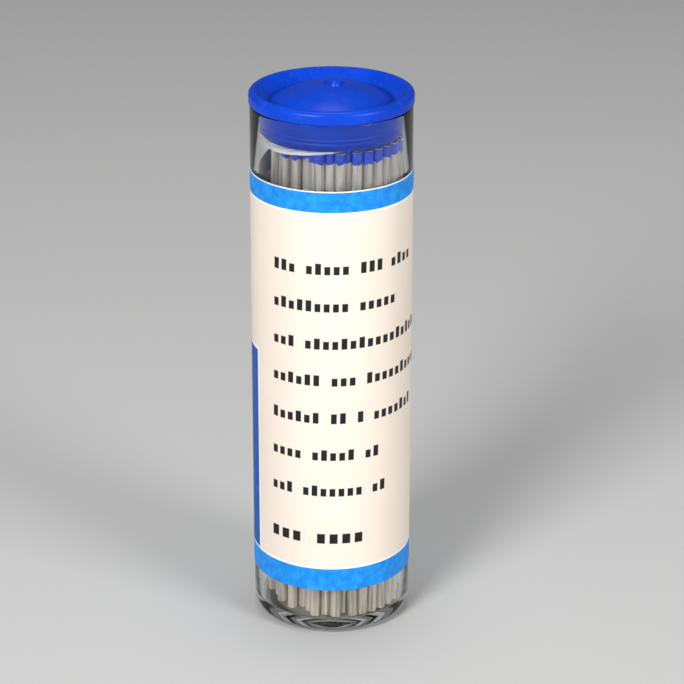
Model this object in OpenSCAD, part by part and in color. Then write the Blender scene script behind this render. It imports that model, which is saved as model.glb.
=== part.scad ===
/* [Capillary tubes] */
// Length of one tube
tube_l = 75; // [50:0.5:120]
// Outside diameter of one tube
tube_od = 1.55; // [1.2:0.05:2]
// Bore of one tube
tube_id = 1.15; // [0.6:0.05:1.3]
// Number of tubes, packed as bundles of five
tube_n = 100; // [60:5:100]
// How much longer the tubes on the right are than the middle ones, and how much shorter on the left
tube_l_spread = 0.45; // [0:0.05:0.5]
// Free width left between neighbouring tubes
tube_gap = 0.15; // [0.15:0.01:0.2]
// Share of the vial's bore that the tubes fill, seen end-on
fill = 0.4875; // [0.4:0.0125:0.6]

/* [Vial] */
// Wall thickness of the vial
wall_t = 1; // [0.7:0.1:1.5]
// Height of the inside floor above the surface that the vial stands on
floor_h = 2.5; // [2:0.1:4]
// Depth of the pushed-up dish under the floor
dish_h = 1.1; // [0.2:0.1:1.3]
// Free height between the tops of the middle tubes and the bottom of the stopper
headroom = 0.5; // [0.5:0.1:8]
// Radius of the outer edge at the foot
foot_r = 2; // [1:0.1:2.4]
// Radius of the inner corner at the floor
floor_corner_r = 0.3; // [0.1:0.1:0.4]
// Radius of the melted edges of the mouth
lip_r = 0.3; // [0.1:0.05:0.34]

/* [Label] */
// Thickness of the label paper
label_t = 0.1; // [0.05:0.01:0.2]
// Bare glass between the foot and the label
label_gap_low = 7.9; // [4:0.1:12]
// Bare glass between the label and the mouth
label_gap_high = 9.9; // [6:0.1:14]

/* [Pad] */
// Thickness of the pad that lies on the tubes
pad_t = 0.4; // [0.2:0.05:0.8]
// How much smaller in radius the pad is than the bore
pad_play = 1.5; // [1.5:0.05:2]
// Tilt of the pad, down on the left
pad_tilt = 4.9; // [0:0.1:5]
// How far the low side of the pad is turned from the left towards the front
pad_turn = 25; // [0:1:30]
// How far the pad has slid towards its low side
pad_slide = 0.8; // [0.6:0.05:0.85]

/* [Stopper] */
// Height of the stopper's flange
flange_h = 1.95; // [1.7:0.05:4]
// How far the flange stands out past the vial
flange_over = 0.15; // [0:0.05:1]
// Radius of the flange's top edge
flange_edge_r = 0.5; // [0.2:0.1:0.7]
// Width of the flat rim around the dished top
rim_w = 1.1; // [0.6:0.05:1.5]
// Depth of the dished top at its lowest
top_dish_h = 1.95; // [1.5:0.05:2.1]
// Rise of the dome inside the dished top
dome_h = 2.85; // [2:0.05:3]
// Width of the slope from the rim down to the dome
slope_w = 1.95; // [1:0.05:3]
// Depth that the stopper reaches into the vial
plug_h = 4.4; // [3.8:0.1:6]
// Depth below the mouth of the plug's sealing edge
seal_h = 3.2; // [1.5:0.1:3.4]
// How far the plug tapers in below its sealing edge
taper_w = 0.5; // [0.2:0.1:0.8]
// Thickness of the plug's wall and of the dome
plug_t = 1.1; // [0.8:0.1:1.5]
// Clearance of the plug in the bore, all round
plug_play = 0.05; // [0.03:0.01:0.1]
// Diameter of the moulding gate mark on the dome
gate_d = 1.7; // [1:0.1:2.5]
// Diameter of its tip
gate_tip_d = 0.7; // [0.4:0.1:0.9]
// Height of the gate mark above its crater
gate_h = 0.95; // [0.6:0.05:1.6]
// How far the gate mark stands to the right of the middle
gate_shift = 0.5; // [0:0.1:1]
// Diameter of the shallow crater around the gate mark
crater_d = 3.7; // [3:0.1:5]
// Depth of that crater
crater_h = 0.4; // [0.1:0.05:0.5]

/* [Hidden] */
$fn = 96;
bundle_size = 5;
bundles = floor(tube_n / bundle_size);
function bundle_node(k) = str("tubes_", k < 9 ? "0" : "", k + 1);

// The vial's bore follows from the tubes that it has to hold.
bore_r = tube_od / 2 * sqrt(tube_n / fill);
vial_r = bore_r + wall_t;
tube_top = floor_h + tube_l;
plug_bottom = tube_top + headroom;
vial_h = plug_bottom + plug_h;

// Tubes: the places of their lower ends, found by pushing overlapping tubes apart a little at a time.
pitch = tube_od + tube_gap;
golden = 137.508;
reach_low = bore_r - floor_corner_r - tube_od / 2 - 0.02;
tube_lift = 0.02;
side_gap = 0.07;
touch_gap = 0.012;
drift = [0.01, -0.045];
rounds = 150;
cluster_r = 1.25 * tube_od;

function cluster(k) = reach_low * 0.94 * sqrt((k + 0.5) / bundles) * [cos(k * golden), sin(k * golden)];
function spoke(j, k) = j == 0 ? [0, 0] : cluster_r * [cos(j * 90 + k * 37), sin(j * 90 + k * 37)];
function first_places() = [
    for (k = [0 : bundles - 1]) for (j = [0 : bundle_size - 1]) cluster(k) + spoke(j, k)
];
function total(v, i = 0, s = [0, 0]) = i == len(v) ? s : total(v, i + 1, s + v[i]);
function pushes(p, all) = [
    for (q = all) let (d = p - q, m = norm(d)) if (m > 0 && m < pitch) d / m * (pitch - m) / 2
];
function held(p) = norm(p) > reach_low ? p * reach_low / norm(p) : p;
function relaxed(all, n) = n == 0 ? all : relaxed(
    [for (p = all) held(p + total(pushes(p, all)) + drift * max(0, n / rounds - 0.4))], n - 1
);
places = relaxed(first_places(), rounds);

// The bundle is a little narrower at its top than at its foot, and leans against the right-hand wall.
closest = min([for (i = [1 : len(places) - 1]) for (j = [0 : i - 1]) norm(places[i] - places[j])]);
least_gather = (tube_od + touch_gap) / closest;
gather_low = max(0.97, least_gather);
gather_top = max(0.93, least_gather);
reach_top = bore_r - tube_od / 2 - side_gap;
shift_low = [reach_low * (1 - gather_low), 0];
shift_top = [reach_top - reach_low * gather_top, -0.1];
function low_place(p) = p * gather_low + shift_low;
function high_place(p) = p * gather_top + shift_top;
// The right-hand tubes are a little longer than the left-hand ones.
function length_at(p) = tube_l + tube_l_spread * p[0] / reach_low;

// Stopper: the dome is part of a sphere.
flange_r = vial_r + flange_over;
plug_r = bore_r - plug_play;
stopper_top = vial_h + flange_h;
rim_r = flange_r - rim_w;
dome_r = rim_r - slope_w;
dish_z = stopper_top - top_dish_h;
function ball_r(half, rise) = (half * half + rise * rise) / (2 * rise);
dome_ball_r = ball_r(dome_r, dome_h);
dome_ball_z = dish_z + dome_h - dome_ball_r;
crater_z = dish_z + dome_h - crater_h;
hollow_r = plug_r - plug_t;
// How deep one part of the stopper is rooted in the next
root = 0.3;

// Vial: the foot stands on a ring around the pushed-up dish.
foot_ring_r = vial_r - foot_r;
dish_r = foot_ring_r - 1.5;
dish_ball_r = ball_r(dish_r, dish_h);

// Pad: it rests on the tubes, low on the left and inside the stopper on the right.
pad_r = bore_r - pad_play;
uphill = [cos(pad_turn), sin(pad_turn)];
pad_shift = -pad_slide * uphill;
function tube_top_at(p) = floor_h + tube_lift + length_at(p);
// The lowest place for the middle of the pad at which it still clears this tube
function pad_over(p) = tube_top_at(p)
    - ((high_place(p) - pad_shift) * uphill - tube_od / 2) * tan(pad_tilt);
pad_mid_h = max([for (p = places) pad_over(p)]) + 0.03;

module wall_section() {
    difference() {
        union() {
            translate([0, foot_r]) square([vial_r, vial_h - foot_r - lip_r]);
            square([vial_r - foot_r, foot_r]);
            translate([vial_r - foot_r, foot_r]) intersection() {
                circle(r = foot_r);
                translate([0, -foot_r]) square(foot_r);
            }
            translate([0, vial_h - 2 * lip_r]) square([vial_r - lip_r, 2 * lip_r]);
            translate([vial_r - lip_r, vial_h - lip_r]) circle(r = lip_r);
        }
        translate([0, floor_h + floor_corner_r]) square([bore_r, vial_h]);
        translate([0, floor_h]) square([bore_r - floor_corner_r, vial_h]);
        translate([bore_r - floor_corner_r, floor_h + floor_corner_r]) circle(r = floor_corner_r);
        translate([0, vial_h - lip_r]) difference() {
            square([bore_r + lip_r, lip_r + 1]);
            translate([bore_r + lip_r, 0]) circle(r = lip_r);
        }
    }
}

module vial() {
    color("lightcyan", 0.35) difference() {
        rotate_extrude() wall_section();
        translate([0, 0, dish_h - dish_ball_r]) sphere(r = dish_ball_r);
    }
}

module label() {
    color("oldlace") translate([0, 0, label_gap_low]) difference() {
        cylinder(h = vial_h - label_gap_low - label_gap_high, r = vial_r + label_t);
        translate([0, 0, -1]) cylinder(h = vial_h, r = vial_r);
    }
}

module pad() {
    color("whitesmoke") translate([pad_shift[0], pad_shift[1], pad_mid_h])
        rotate([0, -pad_tilt, pad_turn]) cylinder(h = pad_t, r = pad_r);
}

module stopper_section() {
    difference() {
        union() {
            difference() {
                union() {
                    translate([0, vial_h]) square([flange_r - flange_edge_r, flange_h]);
                    translate([0, vial_h]) square([flange_r, flange_h - flange_edge_r]);
                    translate([flange_r - flange_edge_r, stopper_top - flange_edge_r])
                        circle(r = flange_edge_r);
                    polygon([
                        [0, plug_bottom], [plug_r - taper_w, plug_bottom], [plug_r, vial_h - seal_h],
                        [plug_r, vial_h + root], [0, vial_h + root]
                    ]);
                }
                polygon([
                    [0, dish_z], [dome_r, dish_z], [rim_r, stopper_top],
                    [rim_r, stopper_top + root], [0, stopper_top + root]
                ]);
            }
            intersection() {
                translate([0, dome_ball_z]) circle(r = dome_ball_r);
                translate([0, dish_z - root]) square([dome_r + root, dome_h + 2 * root]);
            }
        }
        // hollow underside with a domed roof
        intersection() {
            translate([0, dome_ball_z]) circle(r = dome_ball_r - plug_t);
            translate([0, plug_bottom - root]) square([hollow_r, plug_h + flange_h + root]);
        }
    }
}

module stopper() {
    color("royalblue") difference() {
        rotate_extrude() stopper_section();
        translate([gate_shift, 0, crater_z]) cylinder(h = 2 * crater_h, r = crater_d / 2);
    }
    color("royalblue") translate([gate_shift, 0, crater_z - root])
        cylinder(h = gate_h + root, r1 = gate_d / 2, r2 = gate_tip_d / 2);
}

module tube(i) {
    low = low_place(places[i]);
    step = high_place(places[i]) - low;
    l = length_at(places[i]);
    lean = asin(norm(step) / l);
    translate([low[0], low[1], floor_h + tube_lift + tube_od / 2 * sin(lean)])
        rotate([0, lean, atan2(step[1], step[0])]) difference() {
            cylinder(h = l, r = tube_od / 2);
            translate([0, 0, -1]) cylinder(h = l + 2, r = tube_id / 2);
        }
}

module tube_bundle(k) {
    color("gainsboro", 0.6) for (j = [0 : bundle_size - 1]) tube(k * bundle_size + j);
}

vial();
label();
pad();
stopper();
for (k = [0 : bundles - 1]) tube_bundle(k);
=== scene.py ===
"""Looks of a stoppered vial packed with glass capillary tubes, built around its CAD frame.

Lengths are in millimetres until a mesh is made, and angles in degrees. The vial stands on z = 0 with
its axis on Z, and -Y is the front.
"""

import logging
import math
import random
from dataclasses import dataclass, field
from enum import Enum
from typing import Callable, ClassVar, Sequence

import bmesh
import bpy
import numpy as np
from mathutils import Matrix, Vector


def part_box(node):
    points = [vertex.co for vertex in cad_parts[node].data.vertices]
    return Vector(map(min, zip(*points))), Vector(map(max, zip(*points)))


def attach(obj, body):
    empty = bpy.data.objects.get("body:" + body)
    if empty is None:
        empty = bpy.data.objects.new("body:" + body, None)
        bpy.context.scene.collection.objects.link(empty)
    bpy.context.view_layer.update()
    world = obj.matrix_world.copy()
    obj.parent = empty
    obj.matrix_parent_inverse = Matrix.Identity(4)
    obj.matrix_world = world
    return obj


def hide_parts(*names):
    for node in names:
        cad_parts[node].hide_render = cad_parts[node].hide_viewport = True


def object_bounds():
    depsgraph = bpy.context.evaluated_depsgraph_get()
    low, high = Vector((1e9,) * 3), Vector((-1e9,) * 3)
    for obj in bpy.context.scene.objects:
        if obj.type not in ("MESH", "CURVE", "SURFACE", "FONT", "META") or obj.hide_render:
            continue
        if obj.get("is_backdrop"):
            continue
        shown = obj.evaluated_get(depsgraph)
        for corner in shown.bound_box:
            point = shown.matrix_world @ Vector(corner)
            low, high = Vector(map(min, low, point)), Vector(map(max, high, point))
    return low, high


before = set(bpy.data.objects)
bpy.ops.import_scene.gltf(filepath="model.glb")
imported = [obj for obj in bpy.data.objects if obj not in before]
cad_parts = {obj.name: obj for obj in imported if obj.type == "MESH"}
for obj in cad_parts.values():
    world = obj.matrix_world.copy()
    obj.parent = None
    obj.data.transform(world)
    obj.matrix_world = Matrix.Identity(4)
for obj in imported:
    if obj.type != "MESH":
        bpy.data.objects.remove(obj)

log = logging.getLogger("vial")

MM = 0.001
CAD_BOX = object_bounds()
Point = tuple[float, float]
Place = tuple[float, float, float]
Colour = tuple[float, float, float]
Shape = Callable[[float, float, float], Place]


def node_box(node: str) -> tuple[Vector, Vector]:
    """Gives a CAD node's lowest and highest corner in millimetres.

    Args:
        node: The node's name.

    Returns:
        The lowest and the highest corner.
    """
    low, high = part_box(node)
    return Vector(low) / MM, Vector(high) / MM


def node_points(node: str) -> np.ndarray:
    """Gives the vertices of a CAD node in millimetres, one row each."""
    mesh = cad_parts[node].data
    flat = np.zeros(len(mesh.vertices) * 3)
    mesh.vertices.foreach_get("co", flat)
    return flat.reshape(-1, 3) / MM


# ---------------------------------------------------------------- shader arithmetic


class Value:
    """A number on its way through a material's nodes, written as ordinary arithmetic."""

    def __init__(self, graph: "Graph", socket: bpy.types.NodeSocket) -> None:
        """Wraps one output socket.

        Args:
            graph: The node tree that the socket is in.
            socket: The socket that carries the number.
        """
        self.graph = graph
        self.socket = socket

    def _math(self, operation: str, *inputs: "Value | float") -> "Value":
        """Adds a Math node that works on the given inputs."""
        return self.graph.node("ShaderNodeMath", {"operation": operation}, dict(enumerate(inputs)))

    def __add__(self, other: "Value | float") -> "Value":
        """Gives self + other."""
        return self._math("ADD", self, other)

    def __radd__(self, other: float) -> "Value":
        """Gives other + self."""
        return self._math("ADD", other, self)

    def __sub__(self, other: "Value | float") -> "Value":
        """Gives self - other."""
        return self._math("SUBTRACT", self, other)

    def __rsub__(self, other: float) -> "Value":
        """Gives other - self."""
        return self._math("SUBTRACT", other, self)

    def __mul__(self, other: "Value | float") -> "Value":
        """Gives self * other."""
        return self._math("MULTIPLY", self, other)

    def __rmul__(self, other: float) -> "Value":
        """Gives other * self."""
        return self._math("MULTIPLY", other, self)

    def __truediv__(self, other: "Value | float") -> "Value":
        """Gives self / other."""
        return self._math("DIVIDE", self, other)

    def __mod__(self, other: float) -> "Value":
        """Gives self modulo other, never negative."""
        return self._math("FLOORED_MODULO", self, other)

    def __neg__(self) -> "Value":
        """Gives -self."""
        return self._math("MULTIPLY", self, -1.0)

    def root(self) -> "Value":
        """Gives the square root."""
        return self._math("SQRT", self)

    def least(self, other: "Value | float") -> "Value":
        """Gives the smaller of the two."""
        return self._math("MINIMUM", self, other)

    def most(self, other: "Value | float") -> "Value":
        """Gives the larger of the two."""
        return self._math("MAXIMUM", self, other)

    def clamped(self) -> "Value":
        """Holds the number between 0 and 1."""
        return self.most(0.0).least(1.0)

    def above(self, level: "Value | float", blur: float) -> "Value":
        """Gives 1 above a level and 0 below it, with a straight ramp between.

        Args:
            level: The middle of the ramp.
            blur: The width of the ramp.

        Returns:
            The mask.
        """
        return ((self - level) / blur + 0.5).clamped()

    def below(self, level: "Value | float", blur: float) -> "Value":
        """Gives 1 below a level and 0 above it, with a straight ramp between."""
        return 1.0 - self.above(level, blur)

    def between(self, low: float, high: float, blur: float) -> "Value":
        """Gives 1 between two levels and 0 outside them."""
        return self.above(low, blur) * self.below(high, blur)


Input = Value | float | Sequence[float]


class Graph:
    """The node tree of one material."""

    def __init__(self, name: str) -> None:
        """Makes an empty material.

        Args:
            name: The material's name.
        """
        self.material = bpy.data.materials.new(name)
        self.material.use_nodes = True
        self.tree = self.material.node_tree
        self.tree.nodes.clear()

    def node(self, kind: str, settings: dict, inputs: dict, output: int | str = 0) -> Value:
        """Adds any node.

        Args:
            kind: The node's type.
            settings: Its own settings, which are set before its sockets.
            inputs: What goes into its sockets, by name or number: a number, a colour or a Value.
            output: The name or number of the socket that is wanted.

        Returns:
            The wanted output.
        """
        made = self.tree.nodes.new(kind)
        for key, setting in settings.items():
            if key == "stops":
                self._set_stops(made.color_ramp, setting)
            else:
                setattr(made, key, setting)
        for key, given in inputs.items():
            if isinstance(given, Value):
                self.tree.links.new(given.socket, made.inputs[key])
            else:
                made.inputs[key].default_value = given
        return Value(self, made.outputs[output])

    @staticmethod
    def _set_stops(ramp: bpy.types.ColorRamp, stops: Sequence[tuple[float, Colour]]) -> None:
        """Fills a colour ramp with (place, colour) stops."""
        while len(ramp.elements) < len(stops):
            ramp.elements.new(0.5)
        for element, (place, colour) in zip(ramp.elements, stops):
            element.position = place
            element.color = (*colour, 1.0)

    def place(self) -> tuple[Value, Value, Value]:
        """Gives the point on the object, in millimetres, as x, y and z."""
        where = self.node("ShaderNodeTexCoord", {}, {}, "Object")
        parts = self.node("ShaderNodeSeparateXYZ", {}, {"Vector": where})
        outs = parts.socket.node.outputs
        x, y, z = (Value(self, outs[axis]) * (1.0 / MM) for axis in range(3))
        return x, y, z

    def vector(self, x: Input, y: Input, z: Input) -> Value:
        """Joins three numbers into one vector."""
        return self.node("ShaderNodeCombineXYZ", {}, {"X": x, "Y": y, "Z": z})

    def noise(self, at: Value, scale: float, detail: float = 3.0, rough: float = 0.55) -> Value:
        """Gives soft noise between 0 and 1.

        Args:
            at: Where, in millimetres.
            scale: How many features there are in a millimetre.
            detail: How many finer layers are laid over it.
            rough: How strong each finer layer is.

        Returns:
            The noise.
        """
        inputs = {"Vector": at, "Scale": scale, "Detail": detail, "Roughness": rough}
        return self.node("ShaderNodeTexNoise", {"noise_dimensions": "3D"}, inputs)

    def mix(self, share: Input, first: Input, second: Input) -> Value:
        """Mixes two colours.

        Args:
            share: How much of the second colour there is.
            first: A colour, or a Value that carries one.
            second: The other colour.

        Returns:
            The mixed colour.
        """
        given = [c if isinstance(c, Value) else (*c, 1.0) for c in (first, second)]
        inputs = {0: share, 6: given[0], 7: given[1]}
        return self.node("ShaderNodeMix", {"data_type": "RGBA"}, inputs, 2)

    def bump(self, height: Value, strength: float, distance: float) -> Value:
        """Turns a height into a normal.

        Args:
            height: The height, between 0 and 1.
            strength: How strongly it shows.
            distance: The height of 1, in millimetres.

        Returns:
            The normal.
        """
        inputs = {"Strength": strength, "Distance": distance * MM, "Height": height}
        return self.node("ShaderNodeBump", {}, inputs)

    def finish(self, **sockets: Input) -> bpy.types.Material:
        """Adds the surface shader and the output.

        Args:
            **sockets: What goes into the shader, with an underscore for each space.

        Returns:
            The finished material.
        """
        inputs = {key.replace("_", " "): given for key, given in sockets.items()}
        for key, given in inputs.items():
            if key == "Base Color" and not isinstance(given, Value):
                inputs[key] = (*given, 1.0)
        surface = self.node("ShaderNodeBsdfPrincipled", {}, inputs)
        end = self.tree.nodes.new("ShaderNodeOutputMaterial")
        self.tree.links.new(surface.socket, end.inputs["Surface"])
        return self.material


# ---------------------------------------------------------------- finishes


@dataclass(frozen=True)
class ClearGlass:
    """Clear glass with faint drawing streaks, a trace of handling marks, and optional painted light and
    shade.
    """

    name: str
    tint: Colour
    clearness: float
    streaks: float
    smudges: float
    ior: float = 1.5
    lit_foot_tint: Colour | None = None
    shade_lines: float = 0.0
    lit_foot_z: float = 9.0
    line_scale: float = 2.6
    gloss: float = 1.0
    polish: float = 0.004
    stretch: float = 0.03

    def material(self) -> bpy.types.Material:
        """Builds the material."""
        g = Graph(self.name)
        x, y, z = g.place()
        stretched = g.vector(x, y, z * self.stretch)
        streak = g.noise(stretched, 1.1, 2.0)
        smudge = g.noise(g.vector(x, y, z), 0.22, 4.0).above(0.62, 0.3)
        tint = g.mix(smudge * 0.35, self.tint, tuple(c * 0.93 for c in self.tint))
        # Painted light: the colour runs from the darker tint up top, in the shade of the label and
        # stopper, to a lighter, warmer tint at the tubes' lower ends, where the light reaches them.
        if self.lit_foot_tint:
            tint = g.mix(z.below(self.lit_foot_z, self.lit_foot_z), tint, self.lit_foot_tint)
        # Painted shade: dark streaks along the tubes stand for the dark lines of shade between them.
        if self.shade_lines:
            line = g.noise(stretched, self.line_scale, 3.0).above(0.54, 0.12)
            tint = g.mix(line * self.shade_lines, tint, tuple(c * 0.4 for c in self.tint))
        return g.finish(
            Base_Color=tint,
            Roughness=self.polish + smudge * self.smudges,
            IOR=self.ior,
            Transmission_Weight=self.clearness,
            Specular_Tint=(self.gloss, self.gloss, self.gloss, 1.0),
            Normal=g.bump(streak, self.streaks, 0.05),
        )


@dataclass(frozen=True)
class MouldedPlastic:
    """Satin moulded polyethylene with faint flow marks, and painted shade in a ring round its crease."""

    name: str
    colour: Colour
    deep: Colour
    shade_ring_r: float
    shade_from_z: float
    shade_ring_w: float = 0.28
    scuffed: Colour = (0.25, 0.42, 0.85)

    def material(self) -> bpy.types.Material:
        """Builds the material."""
        g = Graph(self.name)
        x, y, z = g.place()
        at = g.vector(x, y, z)
        flow = g.noise(at, 0.16, 3.0)
        grain = g.noise(at, 9.0, 2.0)
        radius = (x * x + y * y).root()
        turned = g.noise(g.vector(radius * 6.0, z * 6.0, 0.0), 0.6, 2.0)
        scuff = g.noise(g.vector(x * 1.6, y * 0.5, z), 1.3, 5.0).above(0.66, 0.16)
        base = g.mix(flow.above(0.5, 0.5), self.deep, self.colour)
        base = g.mix(scuff * 0.05, base, self.scuffed)
        height = grain * 0.35 + turned * 0.45 + scuff * 0.2
        # Painted shade: the colour is darkened in a ring at the crease round the dome, above a given
        # height.
        crease = radius.between(self.shade_ring_r - self.shade_ring_w, self.shade_ring_r + self.shade_ring_w, 0.3)
        crease = crease * z.above(self.shade_from_z, 0.2)
        base = g.mix(crease * 0.55, base, tuple(c * 0.35 for c in self.deep))
        return g.finish(
            Base_Color=base,
            Roughness=0.3 + flow * 0.08 + scuff * 0.14,
            IOR=1.51,
            Specular_IOR_Level=0.16,
            Subsurface_Weight=0.1,
            Subsurface_Radius=(0.2, 0.5, 1.0),
            Subsurface_Scale=1.0 * MM,
            Normal=g.bump(height, 0.18, 0.03),
        )


@dataclass(frozen=True)
class SoftPaper:
    """Uncoated fibrous paper for the pad."""

    name: str
    light: Colour
    dark: Colour

    def material(self) -> bpy.types.Material:
        """Builds the material."""
        g = Graph(self.name)
        x, y, z = g.place()
        fibres = g.noise(g.vector(x * 2.4, y * 0.7, z * 2.0), 2.2, 6.0, 0.7)
        crossed = g.noise(g.vector(x * 0.6, y * 2.6, z * 2.0), 2.0, 6.0, 0.7)
        felt = (fibres + crossed) * 0.5
        return g.finish(
            Base_Color=g.mix(felt.above(0.5, 0.35), self.dark, self.light),
            Roughness=0.8 + felt * 0.15,
            Subsurface_Weight=0.35,
            Subsurface_Radius=(1.0, 1.0, 1.0),
            Subsurface_Scale=0.8 * MM,
            Sheen_Weight=0.2,
            Sheen_Roughness=0.5,
            Normal=g.bump(felt, 0.5, 0.06),
        )


@dataclass(frozen=True)
class RingPaint:
    """Blue ceramic ink fired on around the end of a tube."""

    name: str
    colour: Colour
    # The lighter blue of the mottle: partly thinner ink, partly painted highlight.
    thin: Colour

    def material(self) -> bpy.types.Material:
        """Builds the material."""
        g = Graph(self.name)
        x, y, z = g.place()
        # The lighter blue patches are partly uneven ink and partly painted highlight.
        mottle = g.noise(g.vector(x, y, z * 0.6), 1.8, 4.0)
        return g.finish(
            Base_Color=g.mix(mottle.above(0.55, 0.3), self.colour, self.thin),
            Roughness=0.22 + mottle * 0.2,
            Coat_Weight=0.3,
            Coat_Roughness=0.1,
            Normal=g.bump(mottle, 0.2, 0.02),
        )


@dataclass(frozen=True)
class PaleFloor:
    """A plain pale floor."""

    name: str
    colour: Colour

    def material(self) -> bpy.types.Material:
        """Builds the material."""
        g = Graph(self.name)
        x, y, z = g.place()
        tone = g.noise(g.vector(x, y, z), 0.004, 2.0)
        base = g.mix(tone, self.colour, tuple(c * 0.97 for c in self.colour))
        return g.finish(Base_Color=base, Roughness=0.85 + tone * 0.05, Specular_IOR_Level=0.1)


# ---------------------------------------------------------------- mesh making


@dataclass
class Draft:
    """A mesh while it is being put together, in millimetres."""

    name: str
    points: list[Place] = field(default_factory=list)
    faces: list[tuple[int, ...]] = field(default_factory=list)

    def ring(self, points: Sequence[Place]) -> list[int]:
        """Adds a ring of points and gives their numbers."""
        first = len(self.points)
        self.points.extend(points)
        return list(range(first, first + len(points)))

    def join(self, low: list[int], high: list[int]) -> None:
        """Joins two closed rings with quads, or a ring and a single point with triangles."""
        count = max(len(low), len(high))
        for i in range(count):
            j = (i + 1) % count
            if len(low) == 1:
                self.faces.append((low[0], high[j], high[i]))
            elif len(high) == 1:
                self.faces.append((low[i], low[j], high[0]))
            else:
                self.faces.append((low[i], low[j], high[j], high[i]))

    def turn(self, outline: Sequence[Point], sides: int, shape: Shape) -> None:
        """Turns an outline of (radius, height) points round the Z axis.

        Args:
            outline: The points, from axis to axis, or a closed loop if its ends are off the axis.
            sides: How many steps go round.
            shape: Gives the place of (radius, angle, height).
        """
        rings = []
        for r, z in outline:
            if r < 1e-6:
                rings.append(self.ring([shape(0.0, 0.0, z)]))
            else:
                steps = (math.tau * i / sides for i in range(sides))
                rings.append(self.ring([shape(r, a, z) for a in steps]))
        for low, high in zip(rings, rings[1:]):
            self.join(low, high)
        if outline[0][0] > 1e-6 and outline[-1][0] > 1e-6:
            self.join(rings[-1], rings[0])

    def make(self, material: bpy.types.Material, crease: float = 40.0) -> bpy.types.Object:
        """Makes the Blender object.

        Args:
            material: What it is dressed in.
            crease: Edges sharper than this angle stay sharp.

        Returns:
            The object, with its faces turned outwards.
        """
        mesh = bpy.data.meshes.new(self.name)
        mesh.from_pydata([tuple(c * MM for c in p) for p in self.points], [], self.faces)
        work = bmesh.new()
        work.from_mesh(mesh)
        bmesh.ops.recalc_face_normals(work, faces=work.faces)
        work.to_mesh(mesh)
        work.free()
        mesh.shade_smooth()
        mesh.set_sharp_from_angle(angle=math.radians(crease))
        mesh.materials.append(material)
        made = bpy.data.objects.new(self.name, mesh)
        bpy.context.scene.collection.objects.link(made)
        return made


def plain(r: float, a: float, z: float) -> Place:
    """Gives the place of a point in cylindrical coordinates."""
    return r * math.cos(a), r * math.sin(a), z


def arc(centre: Point, radius: float, start: float, end: float, steps: int = 6) -> list[Point]:
    """Gives the points of an arc.

    Args:
        centre: Its middle.
        radius: Its radius.
        start: The first angle, in degrees.
        end: The last angle, in degrees.
        steps: How many steps it has.

    Returns:
        The points, both ends included.
    """
    angles = (math.radians(start + (end - start) * i / steps) for i in range(steps + 1))
    return [(centre[0] + radius * math.cos(a), centre[1] + radius * math.sin(a)) for a in angles]


def cap(half: float, rise: float, top: float, steps: int = 12, inner: float = 0.0) -> list[Point]:
    """Gives the outline of a spherical cap from its rim in to its crown.

    Args:
        half: The rim's radius.
        rise: How far the crown stands above the rim.
        top: The crown's height.
        steps: How many steps it has.
        inner: The radius at which it stops short of the crown.

    Returns:
        The points from the rim inwards.
    """
    ball = (half * half + rise * rise) / (2.0 * abs(rise))
    sign = 1.0 if rise > 0 else -1.0
    radii = (half + (inner - half) * i / steps for i in range(steps + 1))
    return [(r, top - sign * (ball - math.sqrt(ball * ball - r * r))) for r in radii]


def dress(made: bpy.types.Object, body: str, slot: str, *nodes: str) -> bpy.types.Object:
    """Puts a piece on its body and hides the CAD nodes that it replaces.

    Args:
        made: The piece.
        body: The body that it rides on.
        slot: Not used.
        *nodes: The CAD nodes that it replaces.

    Returns:
        The piece.
    """
    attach(made, body)
    if nodes:
        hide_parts(*nodes)
    triangles = sum(len(p.vertices) - 2 for p in made.data.polygons)
    log.info("%s: %d triangles, rides on %s", made.name, triangles, body)
    return made


# ---------------------------------------------------------------- vial


@dataclass
class Vial:
    """The clear vial: a straight wall, a melted lip and a pushed-up foot."""

    wall: float = 1.0
    floor: float = 2.5
    dish: float = 1.1
    foot: float = 2.0
    ring_w: float = 1.5
    corner: float = 0.3
    lip: float = 0.3
    bead: float = 0.3
    bead_in: float = 0.35
    stand: float = 0.4
    sides: int = 192

    def __post_init__(self) -> None:
        """Reads the vial's radius and height from its node."""
        low, high = node_box("vial")
        self.radius = (high.x - low.x) / 2.0
        self.height = high.z
        self.bore = self.radius - self.wall

    def outline(self) -> list[Point]:
        """Gives the section from the middle of the dish, up the outside and down the inside."""
        ring = self.radius - self.foot
        dish = ring - self.ring_w
        points = list(reversed(cap(dish, self.dish, self.dish)))
        points[-1:] = arc((dish + self.bead_in, self.bead), self.bead, 200, 270, 4)
        points.append((ring - self.stand, 0.0))
        points += arc((ring, self.foot), self.foot, -90, 0, 12)
        points += [(self.radius, self.height * part) for part in (0.2, 0.5, 0.8)]
        points += arc((self.radius - self.lip, self.height - self.lip), self.lip, 0, 90)
        points += arc((self.bore + self.lip, self.height - self.lip), self.lip, 90, 180)
        points += [(self.bore, self.height * part) for part in (0.8, 0.5, 0.2)]
        points += arc((self.bore - self.corner, self.floor + self.corner), self.corner, 360, 270, 5)
        points += [(self.bore * part, self.floor) for part in (0.75, 0.5, 0.25)]
        points.append((0.0, self.floor))
        return points

    def build(self, glass: bpy.types.Material) -> bpy.types.Object:
        """Builds the vial.

        Args:
            glass: Its material.

        Returns:
            The vial's wall.
        """
        draft = Draft("vial_wall")
        draft.turn(self.outline(), self.sides, plain)
        return dress(draft.make(glass, 60.0), "vial", "vial_glass", "vial")


# ---------------------------------------------------------------- tubes


@dataclass(frozen=True)
class Axis:
    """The middle line of one tube, from its lower to its upper end."""

    low: Vector
    high: Vector


class TubeEnd(Enum):
    """Which end of a tube something is at."""

    LOW = 0
    HIGH = 1


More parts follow.
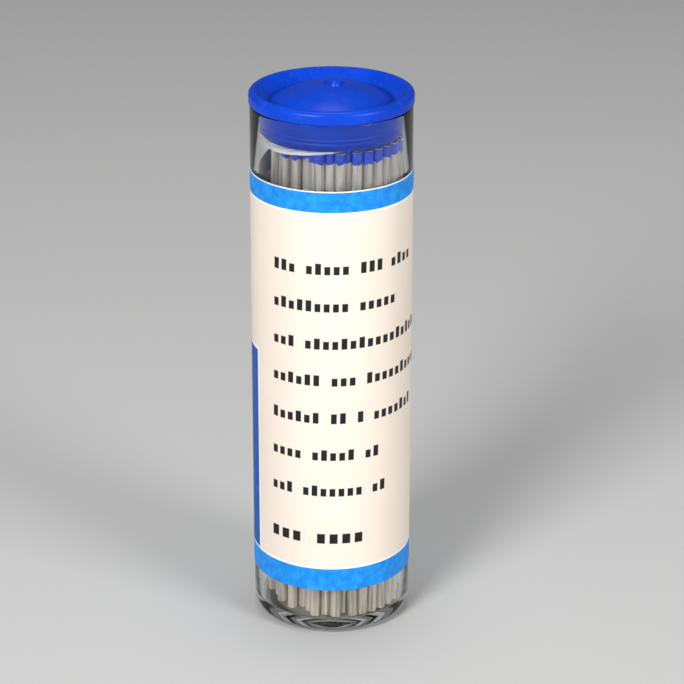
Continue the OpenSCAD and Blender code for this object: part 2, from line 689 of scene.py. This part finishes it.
@dataclass
class TubeBundle:
    """The capillary tubes, with melted ends and a printed ring around each upper end."""

    outer: float = 0.775
    inner: float = 0.575
    melt: float = 0.07
    sides: int = 28
    ring_h: float = 1.75
    ring_spread: float = 0.22
    ragged: float = 0.14
    ink: float = 0.012
    seed: int = 11

    def __post_init__(self) -> None:
        """Finds the nodes that hold tubes."""
        self.nodes = sorted(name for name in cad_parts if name.startswith("tubes_"))
        self.dice = random.Random(self.seed)

    @staticmethod
    def axes(node: str) -> list[Axis]:
        """Finds the tubes of one node from its mesh.

        Args:
            node: The node's name.

        Returns:
            The axis of each tube.
        """
        work = bmesh.new()
        work.from_mesh(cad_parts[node].data)
        bmesh.ops.remove_doubles(work, verts=work.verts, dist=1e-6)
        left, found = set(work.verts), []
        while left:
            stack, island = [next(iter(left))], set()
            while stack:
                vert = stack.pop()
                if vert in island:
                    continue
                island.add(vert)
                stack.extend(edge.other_vert(vert) for edge in vert.link_edges)
            left -= island
            co = np.array([v.co for v in island]) / MM
            middle = (co[:, 2].min() + co[:, 2].max()) / 2.0
            ends = [co[co[:, 2] < middle], co[co[:, 2] >= middle]]
            low, high = (Vector((e.min(axis=0) + e.max(axis=0)) / 2.0) for e in ends)
            found.append(Axis(low, high))
        work.free()
        return sorted(found, key=lambda axis: (round(axis.low.x, 3), round(axis.low.y, 3)))

    @staticmethod
    def along(axis: Axis, anchor: TubeEnd) -> Shape:
        """Gives a shape function that lays a turned outline along a tube.

        Args:
            axis: The tube's axis.
            anchor: The end that heights are measured from.

        Returns:
            The place of (radius, angle, height) on that tube.
        """
        up = (axis.high - axis.low).normalized()
        side = up.cross(Vector((0.0, 1.0, 0.0))).normalized()
        other = up.cross(side)
        start = axis.low if anchor is TubeEnd.LOW else axis.high

        def shape(r: float, a: float, z: float) -> Place:
            """Lays one point along the tube."""
            spot = start + up * z + side * (r * math.cos(a)) + other * (r * math.sin(a))
            return tuple(spot)

        return shape

    def tube_outline(self, length: float) -> list[Point]:
        """Gives the closed section of a tube's wall."""
        m = self.melt
        points = arc((self.outer - m, m), m, -90, 0, 3)
        points += arc((self.outer - m, length - m), m, 0, 90, 3)
        points += arc((self.inner + m, length - m), m, 90, 180, 3)
        points += arc((self.inner + m, m), m, 180, 270, 3)
        return points

    def add_ring(self, draft: Draft, axis: Axis) -> None:
        """Adds the printed ring of one tube, with a ragged lower border.

        Args:
            draft: The mesh that it goes into.
            axis: The tube's axis.
        """
        shape = self.along(axis, TubeEnd.HIGH)
        depth = self.ring_h + self.dice.uniform(-1.0, 1.0) * self.ring_spread
        phase, waves = self.dice.uniform(0.0, math.tau), self.dice.choice((2, 3, 4))
        near, far = self.outer + 0.002, self.outer + self.ink
        angles = [math.tau * i / self.sides for i in range(self.sides)]
        lows = [
            -depth - self.ragged * (math.sin(a * waves + phase) + self.dice.uniform(-0.6, 0.6))
            for a in angles
        ]
        top = -self.melt
        loops = [
            draft.ring([shape(near, a, top) for a in angles]),
            draft.ring([shape(far, a, top - 0.02) for a in angles]),
            draft.ring([shape(far, a, low + 0.03) for a, low in zip(angles, lows)]),
            draft.ring([shape(near, a, low) for a, low in zip(angles, lows)]),
        ]
        for first, second in zip(loops, loops[1:] + loops[:1]):
            draft.join(first, second)

    def build(self, glass: bpy.types.Material, paint: bpy.types.Material) -> None:
        """Builds every node's tubes and their rings.

        Args:
            glass: The tubes' material.
            paint: The rings' material.
        """
        for node in self.nodes:
            tubes, rings = Draft(node + "_glass"), Draft(node + "_rings")
            for axis in self.axes(node):
                length = (axis.high - axis.low).length
                tubes.turn(self.tube_outline(length), self.sides, self.along(axis, TubeEnd.LOW))
                self.add_ring(rings, axis)
            dress(tubes.make(glass, 60.0), "vial", "tube_glass", node)
            dress(rings.make(paint, 60.0), "vial", "tube_glass")


# ---------------------------------------------------------------- pad


@dataclass
class Pad:
    """The thin fibrous pad that lies tilted on the tubes."""

    sides: int = 144
    ripple: float = 0.02
    edge: float = 0.1
    droop: float = 0.5
    overhang: float = 1.0
    seed: int = 5

    def build(self, paper: bpy.types.Material) -> bpy.types.Object:
        """Builds the pad in the place of its node.

        Args:
            paper: Its material.

        Returns:
            The pad.
        """
        co = node_points("pad")
        middle = (co.min(axis=0) + co.max(axis=0)) / 2.0
        spread = np.linalg.svd(co - co.mean(axis=0), full_matrices=False)
        up = Vector(spread[2][2])
        up = up if up.z > 0 else -up
        centre = Vector(middle)
        heights = (co - middle) @ np.array(up)
        half = float(heights.max() - heights.min()) / 2.0
        radius = float(np.linalg.norm(co - middle - np.outer(heights, up), axis=1).max())
        side = up.cross(Vector((0.0, 1.0, 0.0))).normalized()
        other = up.cross(side)
        dice = random.Random(self.seed)
        bites = [(dice.uniform(0.0, math.tau), dice.randint(5, 40)) for _ in range(6)]
        slope = Vector((up.x, up.y, 0.0))
        low_angle = math.atan2(slope.dot(other), slope.dot(side))

        def shape(r: float, a: float, z: float) -> Place:
            """Lays one point on the tilted pad, a little uneven at the rim and on the faces."""
            rough = sum(math.sin(a * n + p) for p, n in bites) / len(bites)
            r *= 1.0 - 0.004 * (rough + 1.0)
            wave = self.ripple * math.sin(3.0 * a + r * 0.7) * (r / radius)
            past = max(0.0, (r - radius + self.overhang) / self.overhang)
            wave -= self.droop * past**1.4 * max(0.0, math.cos(a - low_angle)) ** 2
            spot = centre + side * (r * math.cos(a)) + other * (r * math.sin(a)) + up * (z + wave)
            return tuple(spot)

        e = min(self.edge, half * 0.6)
        inner = [radius * part for part in (0.25, 0.5, 0.75, 0.88, 0.92, 0.95, 0.975)]
        outline = [(0.0, -half)] + [(r, -half) for r in inner]
        outline += arc((radius - e, -half + e), e, -90, 0, 3)
        outline += arc((radius - e, half - e), e, 0, 90, 3)
        outline += [(r, half) for r in reversed(inner)] + [(0.0, half)]
        draft = Draft("pad_disc")
        draft.turn(outline, self.sides, shape)
        return dress(draft.make(paper, 50.0), "vial", "pad_paper", "pad")


# ---------------------------------------------------------------- stopper


@dataclass
class Stopper:
    """The push-in stopper: flange, dished top with a dome, and a hollow plug."""

    rim_w: float = 1.1
    top_dish: float = 1.95
    dome_rise: float = 2.85
    slope_w: float = 1.95
    wall: float = 1.1
    play: float = 0.05
    seal: float = 3.2
    taper: float = 0.5
    flange_h: float = 1.95
    edge: float = 0.75
    gate_r: float = 0.95
    gate_tip: float = 0.45
    gate_shift: float = 0.5
    crater_r: float = 1.85
    crater_h: float = 0.4
    roof_round: float = 0.5
    foot_round: float = 0.2
    under_round: float = 0.22
    rim_round: float = 0.2
    colour: Colour = (0.001, 0.058, 0.59)
    deep: Colour = (0.0006, 0.038, 0.44)
    sides: int = 192
    seed: int = 3
    SEAL: ClassVar[tuple[Point, ...]] = (
        (0.10, -0.32), (0.02, -0.16), (0.0, -0.05), (0.04, 0.08), (0.13, 0.16), (0.13, 0.26),
        (0.03, 0.36), (0.0, 0.5), (0.02, 0.68), (0.1, 0.8), (0.1, 0.95), (0.03, 1.05), (0.0, 1.2),
    )

    def __post_init__(self) -> None:
        """Reads the stopper's and the vial's sizes from their nodes."""
        low, high = node_box("stopper")
        vial_low, vial_high = node_box("vial")
        self.mouth = vial_high.z
        self.bottom = low.z
        self.top = high.z
        self.flange = (high.x - low.x) / 2.0
        self.plug = (vial_high.x - vial_low.x) / 2.0 - Vial.wall - self.play
        self.rim_z = self.mouth + self.flange_h
        self.dish_z = self.rim_z - self.top_dish
        self.rim = self.flange - self.rim_w
        self.dome = self.rim - self.slope_w
        self.crown = self.dish_z + self.dome_rise
        self.ball = (self.dome**2 + self.dome_rise**2) / (2.0 * self.dome_rise)

    def outline(self) -> list[Point]:
        """Gives the section from the hollow's roof, down, round the outside and up to the gate."""
        rim_z, dish_z, rim, dome, crown = self.rim_z, self.dish_z, self.rim, self.dome, self.crown
        hollow = self.plug - self.wall
        foot = self.plug - self.taper
        roof_r = hollow - self.roof_round
        roof = crown - self.ball + math.sqrt((self.ball - self.wall) ** 2 - roof_r**2)
        seal_z = self.mouth - self.seal
        points = list(reversed(cap(roof_r, crown - self.wall - roof, crown - self.wall)))
        points += arc((roof_r, roof - self.roof_round), self.roof_round, 80, 0, 5)
        low_round = self.foot_round
        points += arc((hollow + low_round, self.bottom + low_round), low_round, 180, 270, 4)
        points += arc((foot - low_round, self.bottom + low_round), low_round, 270, 350, 4)
        for out, up in self.SEAL:
            points.append((self.plug - out, seal_z + up))
        points += [(self.plug - 0.06, self.mouth - 0.35), (self.plug - 0.02, self.mouth - 0.12)]
        points.append((self.plug + 0.12, self.mouth))
        under = self.under_round
        points += arc((self.flange - under, self.mouth + under), under, 270, 360, 4)
        points += arc((self.flange - self.edge, rim_z - self.edge), self.edge, 0, 90, 8)
        points += arc((rim + self.rim_round, rim_z - self.rim_round), self.rim_round, 90, 155, 5)
        points += [(dome + 0.8, dish_z + 0.72), (dome + 0.42, dish_z + 0.3)]
        points += [(dome + 0.2, dish_z + 0.1), (dome + 0.04, dish_z + 0.05)]
        points += cap(dome, self.dome_rise, crown, 22, self.crater_r + 0.15)[1:]
        low = crown - self.crater_h
        points += [(self.crater_r, crown - 0.14), (self.crater_r - 0.2, low + 0.08)]
        points += [(self.crater_r - 0.45, low), (self.gate_r + 0.22, low)]
        for part in (0.06, 0.2, 0.4, 0.6, 0.8, 0.93):
            swell = self.gate_tip + (self.gate_r - self.gate_tip) * (1.0 - part) ** 0.7
            points.append((swell, low + (self.top - low) * part))
        points += [(self.gate_tip * 0.7, self.top - 0.03), (self.gate_tip * 0.35, self.top)]
        points.append((0.0, self.top - 0.02))
        return points

    def material(self) -> bpy.types.Material:
        """Builds the plastic, with painted shade darkening the crease around the dome."""
        level = self.mouth - 0.3
        plastic = MouldedPlastic("moulded_plastic", self.colour, self.deep, self.dome, level)
        return plastic.material()

    def build(self) -> bpy.types.Object:
        """Builds the stopper.

        Returns:
            The stopper.
        """
        gate_low = self.crown - 0.1
        reach = 0.75 * self.dome
        inside = self.ball - self.wall / 2.0
        dice = random.Random(self.seed)
        lumps = [(dice.uniform(0.0, math.tau), n, 0.05 / n) for n in (1, 2, 3, 5)]

        def shape(r: float, a: float, z: float) -> Place:
            """Turns one point, with the gate mark off the middle and its end uneven."""
            shift = 0.0
            if r < reach and z > self.crown - self.ball + math.sqrt(inside**2 - r * r):
                shift = self.gate_shift * min(1.0, (reach - r) / (reach - self.crater_r))
            if z > gate_low and r < self.gate_r:
                part = (z - gate_low) / (self.top - gate_low)
                r *= 1.0 + sum(size * math.sin(a * n + p) for p, n, size in lumps) * part
                if r > 0.2:
                    z -= 0.16 * part * (0.5 + 0.5 * math.sin(a + lumps[0][0]))
            across, deep, up = plain(r, a, z)
            return across + shift, deep, up

        draft = Draft("stopper_plug")
        draft.turn(self.outline(), self.sides, shape)
        return dress(draft.make(self.material(), 50.0), "stopper", "stopper_plastic", "stopper")


# ---------------------------------------------------------------- label


@dataclass(frozen=True)
class PrintRow:
    """One row of plain blocks that stands where a line of print would be."""

    base: float
    words: tuple[int, ...]
    height: float = 1.75
    wide: float = 1.0


@dataclass
class Label:
    """The wrap-round paper label with its printed fields."""

    seam: float = 100.0
    overlap: float = 3.0
    band_top: float = 3.25
    band_low: float = 3.65
    keyline: float = 0.3
    panel_right: float = -66.0
    panel_top: float = 45.0
    block: float = 6.45
    block_share: float = 0.64
    margin: float = -46.6
    margin_z: float = 23.85
    margin_slope: float = 0.081
    lift: float = 0.4
    lift_h: float = 4.0
    lift_w: float = 14.0
    edge_w: float = 1.9
    frame_w: float = 0.4
    top_line: float = 0.18
    ramp: float = 3.0
    gap: float = 0.003
    sheet_share: float = 0.48
    cream: Colour = (0.80, 0.705, 0.62)
    aged: Colour = (0.78, 0.68, 0.585)
    sky: Colour = (0.006, 0.20, 0.70)
    sky_light: Colour = (0.016, 0.31, 0.78)
    # The panel's blue is print, made darker than the bands' blue as painted shade.
    deep: Colour = (0.003, 0.07, 0.34)
    deep_light: Colour = (0.008, 0.10, 0.42)
    white: Colour = (0.84, 0.85, 0.86)
    black: Colour = (0.012, 0.012, 0.014)
    sides: int = 240
    rows: int = 68
    ROWS: ClassVar[tuple[PrintRow, ...]] = (
        PrintRow(59.65, (3, 5, 3, 4)),
        PrintRow(53.8, (9, 5)),
        PrintRow(47.85, (3, 18)),
        PrintRow(41.95, (6, 3, 12)),
        PrintRow(35.85, (6, 2, 1, 7)),
        PrintRow(29.8, (4, 5, 2)),
        PrintRow(23.85, (3, 7, 2)),
        PrintRow(15.9, (3, 4), 2.2, 1.42),
    )

    def __post_init__(self) -> None:
        """Reads the label's place from its node."""
        low, high = node_box("label")
        self.radius = (high.x - low.x) / 2.0
        self.low = low.z
        self.high = high.z
        vial_low, vial_high = node_box("vial")
        self.inner = (vial_high.x - vial_low.x) / 2.0
        self.thick = self.radius - self.inner
        self.lap = self.overlap / self.radius * 180.0 / math.pi

    def ink(self, g: Graph, turn: Value, z: Value) -> Value:
        """Gives the mask of the printed blocks on the front field.

        Args:
            g: The material's nodes.
            turn: The angle round the vial, in degrees, with 0 at the front.
            z: The height, in millimetres.

        Returns:
            The mask.
        """
        margin = (z - self.margin_z) * self.margin_slope + self.margin
        ink = None
        for number, row in enumerate(self.ROWS):
            column = (turn - margin) / (self.block * row.wide)
            place = column % 1.0
            cell = g.vector(column - place, float(number), 0.0)
            chance = g.node("ShaderNodeTexWhiteNoise", {"noise_dimensions": "2D"}, {"Vector": cell})
            tall = chance.above(0.6, 0.02)
            top = row.base + row.height * 0.74 + tall * (row.height * 0.26)
            start, words = 0, None
            for length in row.words:
                word = column.between(start, start + length, 0.04)
                words = word if words is None else words.most(word)
                start += length + 1
            mask = words * place.below(self.block_share, 0.06) * z.above(row.base, 0.1) * z.below(top, 0.1)
            ink = mask if ink is None else ink.most(mask)
        return ink

    def material(self) -> bpy.types.Material:
        """Builds the printed paper."""
        g = Graph("printed_paper")
        x, y, z = g.place()
        turn = g.node("ShaderNodeMath", {"operation": "ARCTAN2"}, {0: x, 1: -y}) * (180.0 / math.pi)
        at = g.vector(x, y, z)
        mottle = g.noise(at, 0.9, 4.0)
        fibre = g.noise(at, 5.0, 4.0, 0.65)
        cloud = g.noise(at, 0.12, 2.0)
        cream = g.mix(cloud.above(0.5, 0.4), self.cream, self.aged)
        sky = g.mix(mottle.above(0.52, 0.3), self.sky, self.sky_light)
        # The back panel is blue print, drawn as a darker copy of the bands' blue; that extra darkness is
        # painted shade.
        deep = g.mix(mottle.above(0.52, 0.3), self.deep, self.deep_light)
        top = z.above(self.high - self.band_top, 0.06)
        low = z.below(self.low + self.band_low, 0.06)
        band = top.most(low)
        top_z, low_z = self.high - self.band_top, self.low + self.band_low
        edge = z.above(self.high - self.top_line, 0.08)
        keys = z.between(top_z - self.keyline, top_z, 0.08)
        keys = keys.most(z.between(low_z, low_z + self.keyline, 0.08))
        keys = keys.most(edge)
        back = turn.below(self.panel_right, 0.25).most(turn.above(self.seam, 0.2))
        panel = back * z.below(self.panel_top, 0.1)
        near = turn.between(self.panel_right, self.panel_right + self.edge_w, 0.25)
        frame_top = self.panel_top + self.frame_w
        border = near * z.below(frame_top, 0.1)
        border = border.most(back * z.between(self.panel_top, frame_top, 0.1))
        ink = self.ink(g, turn, z) * fibre.above(0.2, 0.25)
        colour = g.mix(border, cream, self.white)
        colour = g.mix(panel, colour, deep)
        colour = g.mix(keys, colour, self.white)
        colour = g.mix(band * (1.0 - edge), colour, sky)
        colour = g.mix(ink, colour, self.black)
        return g.finish(
            Base_Color=colour,
            Roughness=0.42 + fibre * 0.12 - ink * 0.08,
            Specular_IOR_Level=0.2,
            Normal=g.bump(fibre, 0.25, 0.02),
        )

    def under(self, angle: float, height: float) -> float:
        """Gives the radius of the sheet's inner face.

        Args:
            angle: The angle round the vial, in degrees, with 0 at the front.
            height: The height, in millimetres.

        Returns:
            The radius, larger where the sheet laps over itself and at its lifted corner.
        """
        past = angle - (self.seam - self.lap - self.ramp)
        over = self.thick * min(1.0, max(0.0, past) / self.ramp) * 0.5
        free = max(0.0, 1.0 - (self.seam - angle) / self.lift_w)
        corner = max(0.0, 1.0 - (self.high - height) / self.lift_h)
        return self.inner + over + self.gap + self.lift * (free * corner) ** 1.5

    def build(self) -> bpy.types.Object:
        """Builds the label as one wrapped sheet with a lapped seam.

        Returns:
            The label.
        """
        draft = Draft("label_paper")
        sheet = self.thick * self.sheet_share
        span = 360.0 + self.lap
        first = self.seam - span
        inner_rows, outer_rows = [], []
        for k in range(self.rows + 1):
            part = k / self.rows
            height = self.low + (self.high - self.low) * part
            inner_ring, outer_ring = [], []
            for i in range(self.sides + 1):
                angle = first + span * i / self.sides
                a = math.radians(angle - 90.0)
                under = self.under(angle, height)
                inner_ring.append(plain(under, a, height))
                outer_ring.append(plain(under + sheet, a, height))
            inner_rows.append(draft.ring(inner_ring))
            outer_rows.append(draft.ring(outer_ring))
        for k in range(self.rows):
            for i in range(self.sides):
                a, b = inner_rows[k], inner_rows[k + 1]
                draft.faces.append((a[i], b[i], b[i + 1], a[i + 1]))
                a, b = outer_rows[k], outer_rows[k + 1]
                draft.faces.append((a[i], a[i + 1], b[i + 1], b[i]))
            for i in (0, self.sides):
                a, b = (inner_rows, outer_rows) if i else (outer_rows, inner_rows)
                draft.faces.append((a[k][i], a[k + 1][i], b[k + 1][i], b[k][i]))
        for k, flip in ((0, False), (self.rows, True)):
            for i in range(self.sides):
                a, b = (inner_rows[k], outer_rows[k]) if flip else (outer_rows[k], inner_rows[k])
                draft.faces.append((a[i], b[i], b[i + 1], a[i + 1]))
        return dress(draft.make(self.material(), 50.0), "vial", "label_paper", "label")


# ---------------------------------------------------------------- studio


@dataclass(frozen=True)
class SoftLight:
    """One round light: its place and width in metres, and its power in watts."""

    name: str
    at: Place
    size: float
    power: float


@dataclass
class Studio:
    """The pale floor, the soft lights and the camera."""

    camera_back: float = 371.4
    camera_up: float = 196.7
    pitch: float = 22.33
    lens: float = 138.6
    sensor: float = 36.0
    shift: float = 0.01535
    floor_half: float = 3.0
    floor_tone: Colour = (0.58, 0.58, 0.575)
    room: Colour = (0.86, 0.87, 0.88)
    room_glow: float = 0.16
    aim_z: float = 0.045
    LIGHTS: ClassVar[tuple[SoftLight, ...]] = (
        SoftLight("key", (-0.35, -0.58, 0.4), 0.3, 5.6),
        SoftLight("fill", (0.5, -0.45, 0.3), 0.3, 3.2),
        SoftLight("top", (0.0, 0.1, 0.75), 0.35, 1.5),
    )

    def floor(self) -> None:
        """Lays the floor."""
        half = self.floor_half
        mesh = bpy.data.meshes.new("floor")
        corners = [(-half, -half, 0.0), (half, -half, 0.0), (half, half, 0.0), (-half, half, 0.0)]
        mesh.from_pydata(corners, [], [(0, 1, 2, 3)])
        mesh.materials.append(PaleFloor("pale_floor", self.floor_tone).material())
        made = bpy.data.objects.new("floor", mesh)
        bpy.context.scene.collection.objects.link(made)
        made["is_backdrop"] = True

    def light(self, soft: SoftLight) -> None:
        """Adds one soft light that faces the middle of the object.

        Args:
            soft: The light.
        """
        lamp = bpy.data.lights.new(soft.name, "AREA")
        lamp.shape = "DISK"
        lamp.size = soft.size
        lamp.energy = soft.power
        made = bpy.data.objects.new(soft.name, lamp)
        made.location = soft.at
        aim = Vector((0.0, 0.0, self.aim_z)) - made.location
        made.rotation_euler = aim.to_track_quat("-Z", "Y").to_euler()
        bpy.context.scene.collection.objects.link(made)

    def camera(self) -> None:
        """Sets the camera at the viewing angle."""
        lens = bpy.data.cameras.new("camera")
        lens.lens = self.lens
        lens.sensor_width = self.sensor
        lens.shift_x = self.shift
        lens.clip_start = 0.01
        made = bpy.data.objects.new("camera", lens)
        made.location = (0.0, -self.camera_back * MM, self.camera_up * MM)
        made.rotation_euler = (math.radians(90.0 - self.pitch), 0.0, 0.0)
        bpy.context.scene.collection.objects.link(made)
        bpy.context.scene.camera = made

    def build(self) -> None:
        """Builds the studio."""
        self.floor()
        self.camera()
        world = bpy.data.worlds.new("soft_room")
        world.use_nodes = True
        backdrop = world.node_tree.nodes["Background"]
        backdrop.inputs["Color"].default_value = (*self.room, 1.0)
        backdrop.inputs["Strength"].default_value = self.room_glow
        bpy.context.scene.world = world
        for soft in self.LIGHTS:
            self.light(soft)
        scene = bpy.context.scene
        scene.view_settings.view_transform = "Standard"
        scene.cycles.max_bounces = 32
        scene.cycles.transmission_bounces = 32
        scene.cycles.transparent_max_bounces = 16
        scene.cycles.glossy_bounces = 8
        scene.cycles.diffuse_bounces = 4


def main() -> None:
    """Builds the studio and every piece, in order."""
    logging.basicConfig(level=logging.INFO, format="%(name)s: %(message)s")
    Studio().build()
    vial_glass = ClearGlass("vial_glass", (0.98, 0.99, 0.985), 1.0, 0.02, 0.02, 1.45, gloss=0.3)
    tube_glass = ClearGlass(
        name="tube_glass",
        # Painted shade: the tubes' tint is darkened to stand for the shade under the label and stopper.
        tint=(0.72, 0.675, 0.63),
        clearness=0.3,
        streaks=0.0,
        smudges=0.05,
        # Painted light: the lighter, warmer colour at the tubes' lower ends.
        lit_foot_tint=(1.0, 0.89, 0.76),
        shade_lines=0.6,
        line_scale=2.4,
    )
    Vial().build(vial_glass.material())
    ring_paint = RingPaint("ring_paint", (0.001, 0.03, 0.5), (0.004, 0.10, 0.78))
    TubeBundle().build(tube_glass.material(), ring_paint.material())
    Pad().build(SoftPaper("soft_paper", (0.99, 0.98, 1.0), (0.90, 0.88, 0.92)).material())
    Stopper().build()
    Label().build()
    boxes = {"cad": CAD_BOX, "visual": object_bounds()}
    {name: [list(corner) for corner in box] for name, box in boxes.items()}


if __name__ == "__main__":
    main()
